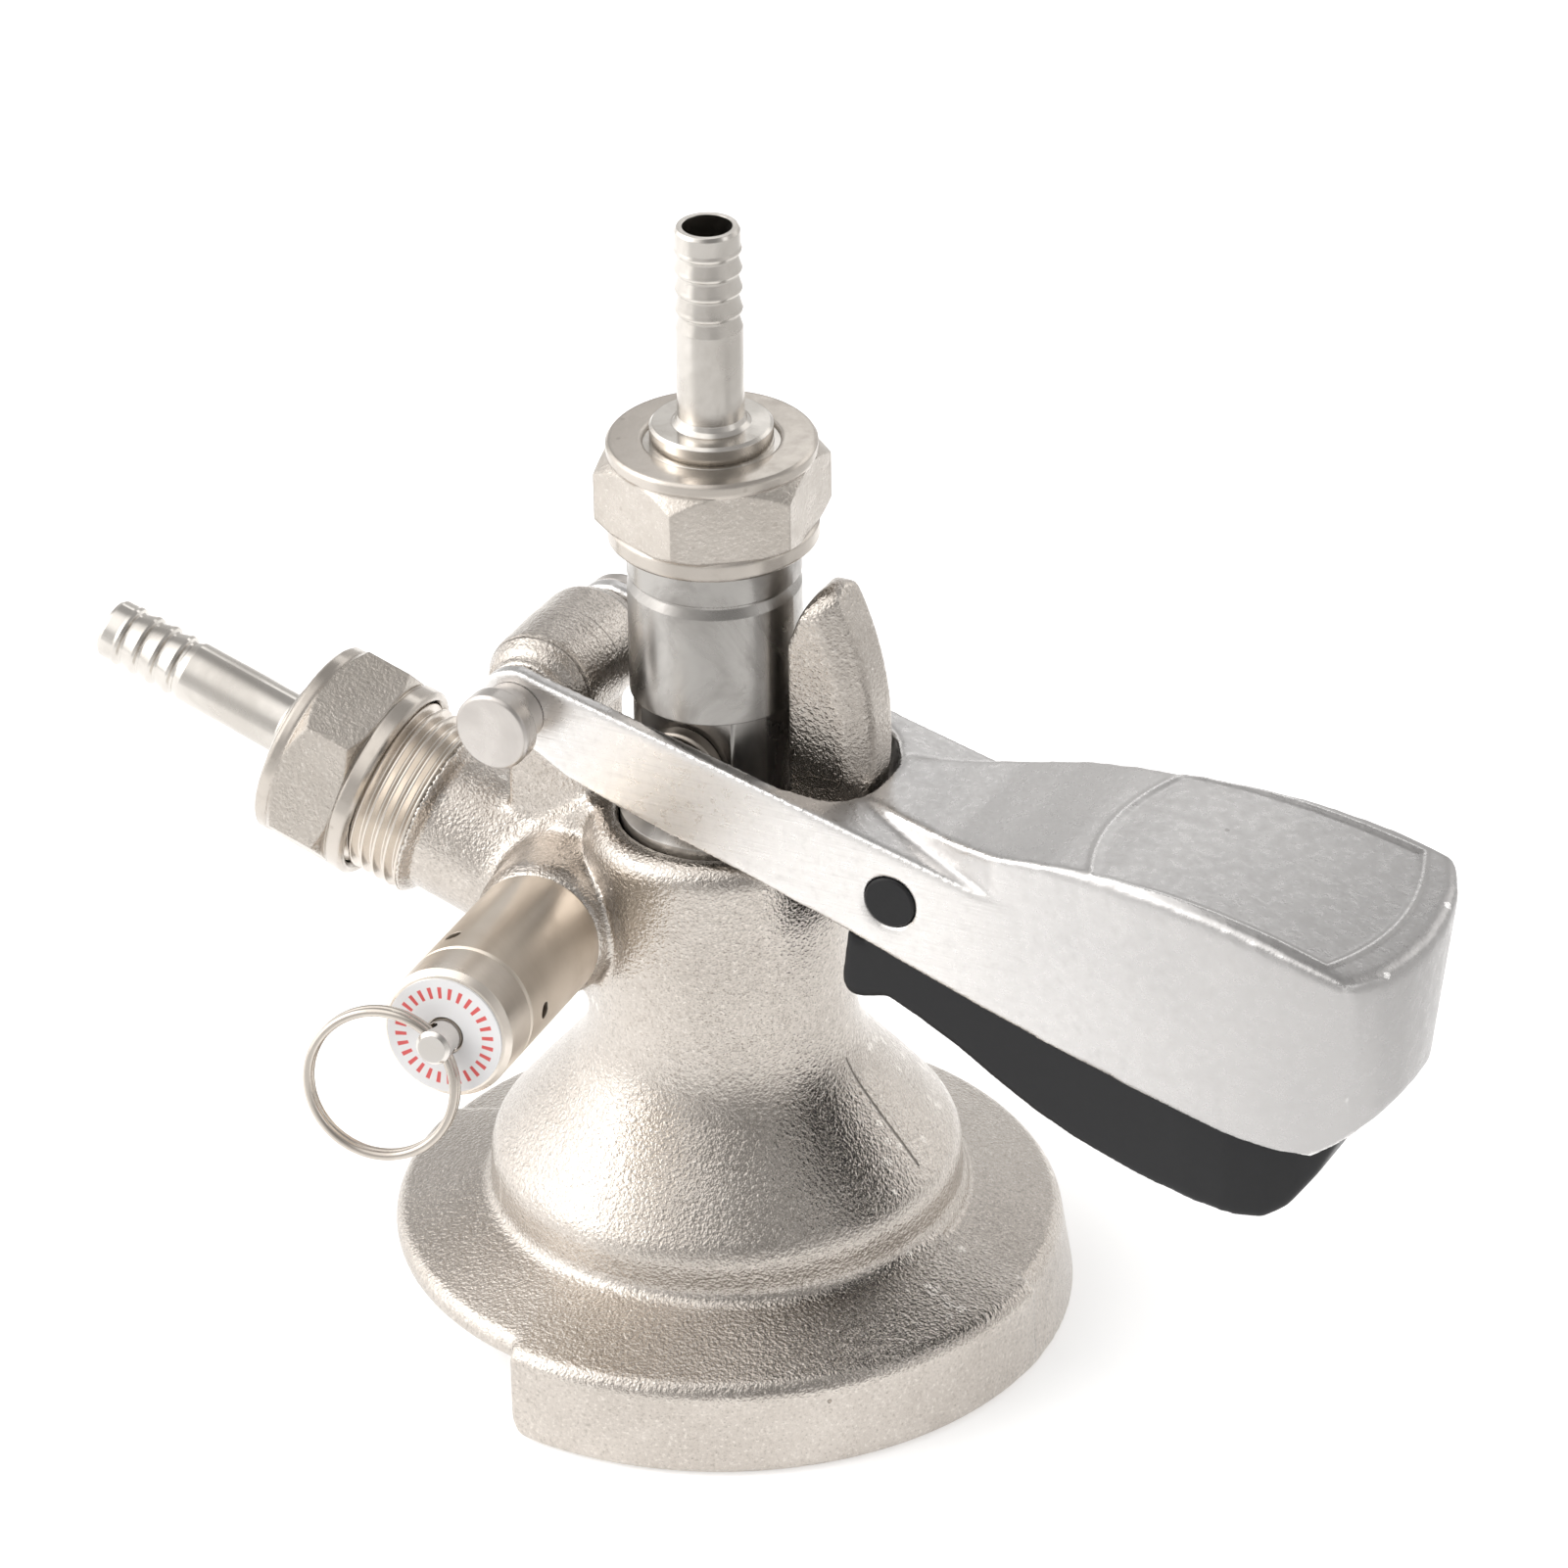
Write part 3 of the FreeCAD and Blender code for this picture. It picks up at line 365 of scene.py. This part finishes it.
def remeshed(node, name, voxel, rounds, weight=None, hollows=None):
    """A copy of the node with an even mesh, its edges worn round; weight gives how much at each point (mm)."""
    o = bpy.data.objects.new(name, nodes[node].data.copy())
    scene.collection.objects.link(o)
    w = o.modifiers.new("weld", "WELD")
    w.merge_threshold = 2e-6
    r = o.modifiers.new("remesh", "REMESH")
    r.mode = "VOXEL"
    r.voxel_size = voxel
    dg = bpy.context.evaluated_depsgraph_get()
    me = bpy.data.meshes.new_from_object(o.evaluated_get(dg))
    o.modifiers.clear()
    o.data = me
    p = read(me)
    e = np.empty(len(me.edges) * 2, dtype=np.int64)
    me.edges.foreach_get("vertices", e)
    e = e.reshape(-1, 2)
    n = len(p)
    deg = np.maximum(np.bincount(e.ravel(), minlength=n), 1)[:, None]

    def lap(q):
        s = np.empty_like(q)
        for k in range(3):
            s[:, k] = np.bincount(e[:, 0], q[e[:, 1], k], n) + np.bincount(e[:, 1], q[e[:, 0], k], n)
        return s / deg - q

    for _ in range(5):
        p = p + 0.5 * lap(p)
        p = p - 0.53 * lap(p)
    wt = np.ones(n) if weight is None else weight(p * 1000.0)
    for k in range(rounds):
        p = p + 0.5 * wt[:, None] * lap(p)
    if hollows:
        # cast fillets: inside corners fill up, outside corners stay
        for k in range(hollows[0]):
            if k % 4 == 0:
                write(me, p)
                nrm = np.empty(n * 3)
                me.vertices.foreach_get("normal", nrm)
                nrm = nrm.reshape(-1, 3)
                hw = hollows[1](p * 1000.0)
            d = np.clip((lap(p) * nrm).sum(1), 0.0, None)
            p = p + (0.5 * hw * d)[:, None] * nrm
        for k in range(3):
            p = p + 0.3 * (hw * wt)[:, None] * lap(p)
    box_lo, box_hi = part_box(node)
    p = np.clip(p, np.array(box_lo), np.array(box_hi))
    write(me, p)
    me.shade_smooth()
    return o


def smooth01(v, a, b):
    t = np.clip((v - a) / (b - a), 0, 1)
    return t * t * (3 - 2 * t)


G_O, G_D = np.array(GAS_O) * 1000.0, np.array(GAS_D)


def body_weight(p):
    d = p - G_O
    s = d @ G_D
    rr = np.linalg.norm(d - s[:, None] * G_D, axis=1)
    w = np.ones(len(p))
    w[(s > 43.0) & (rr < 14)] = 0.05
    r = np.hypot(p[:, 0], p[:, 1])
    w[(p[:, 2] > 74.0) & (r < 14.5)] *= 0.35
    w[(p[:, 2] < 2.0)] *= 0.8
    inside = (p[:, 2] < 12.0) & (r < 36.0)
    w[inside] = 0.3
    w[(p[:, 2] > 80.0) & (p[:, 0] < -12)] = 0.45
    low = (p[:, 2] < 19.5) & (r > 32.0)
    w[low & (np.abs(p[:, 1] + 1.2) < 2.0) & (p[:, 0] > 25)] = 0.12
    w[low & (np.abs(p[:, 1] + 5.0) < 6.0) & (p[:, 0] < -25)] = 0.25
    return w


def body_hollows(p):
    """Where the casting has wide fillets: round the neck, gas inlet and relief bosses."""
    d = p - G_O
    s = d @ G_D
    q = p - np.array(PRV_O) * 1000.0
    t = q @ np.array(PRV_D)
    rq = np.linalg.norm(q - t[:, None] * np.array(PRV_D), axis=1)
    w = smooth01(p[:, 2], 34.0, 42.0) * (1 - smooth01(p[:, 2], 80.0, 84.0)) * (1 - smooth01(s, 38.0, 42.5))
    w *= 1 - smooth01(t, 14.5, 17.0) * (rq < 14)
    r = np.hypot(p[:, 0], p[:, 1])
    w[(r < 17.0) & (p[:, 0] > -14.0)] = 0.0
    w[r < 15.5] = 0.0
    return w


body = remeshed("body_casting", "body_casting_look", 0.00040, 9, body_weight, (56, body_hollows))
p = read(body.data)
q = p * 1000.0 - G_O
s = q @ G_D
radial = q - s[:, None] * G_D
rr = np.linalg.norm(radial, axis=1)
# the thread is drawn by its own helical piece, so the casting is turned down under it
k = (s > 45.2) & (s < 61.2) & (rr > 10.4)
f = np.where(k, np.minimum(rr, 11.0) / np.maximum(rr, 1e-6), 1.0)
p = (G_O + s[:, None] * G_D + radial * f[:, None]) / 1000.0
write(body.data, p)
assign(body, M_BODY)
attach(body, "body")
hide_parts("body_casting")


def helical_thread():
    """The male gas thread as one helical surface inside the crests and roots of the frame."""
    ns, na = 340, 160
    s0, s1, pitch = 44.7, 61.85, 1.814
    ss = np.linspace(s0, s1, ns)
    aa = np.linspace(0, 2 * np.pi, na, endpoint=False)
    a, b = np.meshgrid(aa, ss)
    ph = ((b / pitch) - a / (2 * np.pi)) % 1.0
    tri = 1.0 - np.clip((np.abs(ph - 0.5) * 2.0 - 0.16) / 0.72, 0, 1)
    rad = 11.42 + 1.03 * tri
    rad = np.minimum(rad, 11.42 + 1.03 * smooth01(b, s0, s0 + 0.4))
    rad = np.minimum(rad, 10.9 + 1.55 * (1 - smooth01(b, s1 - 1.3, s1)))
    ex = np.array([0.0, 1.0, 0.0])
    ey = np.cross(G_D, ex)
    pts = G_O + b[..., None] * G_D + rad[..., None] * (np.cos(a)[..., None] * ex + np.sin(a)[..., None] * ey)
    v = (pts / 1000.0).reshape(-1, 3)
    faces = [(i * na + j, i * na + (j + 1) % na, (i + 1) * na + (j + 1) % na, (i + 1) * na + j) for i in range(ns - 1) for j in range(na)]
    me = bpy.data.meshes.new("gas_thread")
    me.from_pydata(v.tolist(), [], faces)
    me.shade_smooth()
    o = bpy.data.objects.new("gas_thread_look", me)
    scene.collection.objects.link(o)
    return o


thread = helical_thread()
assign(thread, turned("gas_thread_nickel", GAS_D, (0.74, 0.69, 0.63), (0.62, 0.56, 0.50), 0.2, 0.32, lines=5000.0, bev=0.0001))
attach(thread, "body")


def handle_weight(p):
    w = 0.20 + 0.80 * smooth01(p[:, 0], 52.0, 68.0)
    w[p[:, 0] < 20] = 0.12
    w[(p[:, 2] < 78) & (p[:, 0] > 30) & (np.abs(p[:, 1]) < 13.2) & (p[:, 0] < 98)] = 0.08
    w[(p[:, 2] < 62)] *= 0.35
    return w


handle = remeshed("handle_fork", "handle_fork_look", 0.00036, 64, handle_weight)
p = read(handle.data)
nrm = np.empty(len(p) * 3)
handle.data.vertices.foreach_get("normal", nrm)
nrm = nrm.reshape(-1, 3)
mm = p * 1000.0
x, y = mm[:, 0], mm[:, 1]
# panel outline pressed into the top of the grip
d_left = x - (62.1 - 3.6 * (1 - (y / 15.0) ** 2))
d_right = (95.9 + 3.4 * (1 - (y / 16.0) ** 2)) - x
d_side = (14.6 + (x - 62.1) * 0.043) - np.abs(y)
d = np.minimum(np.minimum(d_left, d_right), d_side)
h = 0.16 * np.exp(-(d / 0.40) ** 2) - 0.20 * smooth01(d, 0.2, 1.2)
on_top = smooth01(nrm[:, 2], 0.6, 0.85) * (mm[:, 2] > 80)
mm[:, 2] += h * on_top
write(handle.data, mm / 1000.0)
assign(handle, M_HANDLE)
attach(handle, "handle")
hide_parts("handle_fork")

trigger = remeshed("trigger", "trigger_look", 0.00036, 16)
assign(trigger, M_BLACK)
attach(trigger, "trigger_body")
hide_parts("trigger")

# ------------------------------------------------------------------ stage
me = bpy.data.meshes.new("floor")
R = 4.0
me.from_pydata([(-R, -R, 0), (R, -R, 0), (R, R, 0), (-R, R, 0)], [], [(0, 1, 2, 3)])
floor = bpy.data.objects.new("floor", me)
scene.collection.objects.link(floor)
floor.location = (0, 0, -0.0002)
mf = Mat("pale_floor")
# the floor glows near the object (painted light) and is painted darker grey toward the camera and to the right
# (painted shade that the metal reflects)
n1 = mf.noise(3.0, 2.0)
to_front = mf.remap(mf.dot(mf.obj, (-0.431, 0.902, 0.0)), -0.100, -0.19, 0.0, 0.7)
to_right = mf.remap(mf.dot(mf.obj, (0.891, 0.454, 0.0)), 0.125, 0.24, 0.0, 0.8)
painted_floor_glow = mf.math("MULTIPLY", mf.math("SUBTRACT", 1.0, to_front), mf.math("SUBTRACT", 1.0, to_right))
painted_floor_glow = mf.math("MULTIPLY", painted_floor_glow, 0.44)
painted_shade_away = mf.math("MAXIMUM", to_front, to_right)
pale = mf.mix(painted_shade_away, mf.mix(n1, (0.90, 0.90, 0.90), (0.93, 0.93, 0.93)), (0.62, 0.62, 0.62))
floor.data.materials.append(mf.done(pale, 0.85, 0.0, Emission_Color=(1.0, 1.0, 1.0), Emission_Strength=painted_floor_glow))

# ------------------------------------------------------------------ light
world = bpy.data.worlds.new("studio")
scene.world = world
world.use_nodes = True
nt = world.node_tree
nt.nodes.clear()
W = Mat.__new__(Mat)
W.nt = nt
tc = nt.nodes.new("ShaderNodeTexCoord")
W.obj = tc.outputs["Generated"]
sx, sy, sz = W.xyz()
base = W.remap(sz, 0.05, 0.80, 0.74, 0.46)


def card(direction, inner, outer, value):
    d = Vector(direction).normalized()
    c = W.dot(W.obj, d)
    return W.remap(c, math.cos(math.radians(outer)), math.cos(math.radians(inner)), 0.0, value)


total = W.math("ADD", base, card((-0.90, -0.35, 0.26), 24, 50, 1.10))
total = W.math("ADD", total, card((-0.45, -0.35, 0.82), 22, 48, 1.05))
total = W.math("ADD", total, card((0.46, 0.79, 0.40), 7, 22, 0.85))
total = W.math("SUBTRACT", total, card((0.62, -0.62, 0.48), 10, 34, 0.22))
total = W.math("MAXIMUM", total, 0.05)
bg = nt.nodes.new("ShaderNodeBackground")
bg.inputs[0].default_value = (1.0, 0.985, 0.97, 1.0)
nt.links.new(total, bg.inputs[1])
wo = nt.nodes.new("ShaderNodeOutputWorld")
nt.links.new(bg.outputs[0], wo.inputs[0])


def area(name, loc, target, size, power, color=(1, 1, 1)):
    l = bpy.data.lights.new(name, "AREA")
    l.shape = "RECTANGLE"
    l.size, l.size_y = size
    l.energy = power
    l.color = color
    o = bpy.data.objects.new(name, l)
    scene.collection.objects.link(o)
    o.location = loc
    o.rotation_euler = (Vector(target) - Vector(loc)).to_track_quat("-Z", "Y").to_euler()
    return o


area("key_left", (-0.75, -0.55, 0.70), (0, 0, 0.07), (0.45, 0.6), 1.1, (1.0, 0.985, 0.96))
area("rim_back", (-0.15, 0.95, 0.75), (0, 0, 0.08), (0.7, 0.25), 0.5)
area("fill_right", (0.90, 0.10, 0.55), (0.02, 0, 0.07), (0.3, 0.5), 0.35)

# ------------------------------------------------------------------ camera
cam = bpy.data.cameras.new("camera")
cam.sensor_fit = "HORIZONTAL"
cam.sensor_width = 36.0
cam.lens = 182.866
cam.clip_start = 0.05
cam.clip_end = 20.0
co = bpy.data.objects.new("camera", cam)
scene.collection.objects.link(co)
right = Vector((0.891004, 0.45376, -0.014617))
up = Vector((-0.215924, 0.451872, 0.865557))
back = Vector((0.39936, -0.768059, 0.500597))
m4 = Matrix((right, up, back)).transposed().to_4x4()
m4.translation = Vector((0.435241, -0.818159, 0.615329))
co.matrix_world = m4
scene.camera = co

scene.view_settings.view_transform = "Standard"
scene.view_settings.look = "None"
scene.view_settings.exposure = 0.0
scene.view_settings.gamma = 1.0
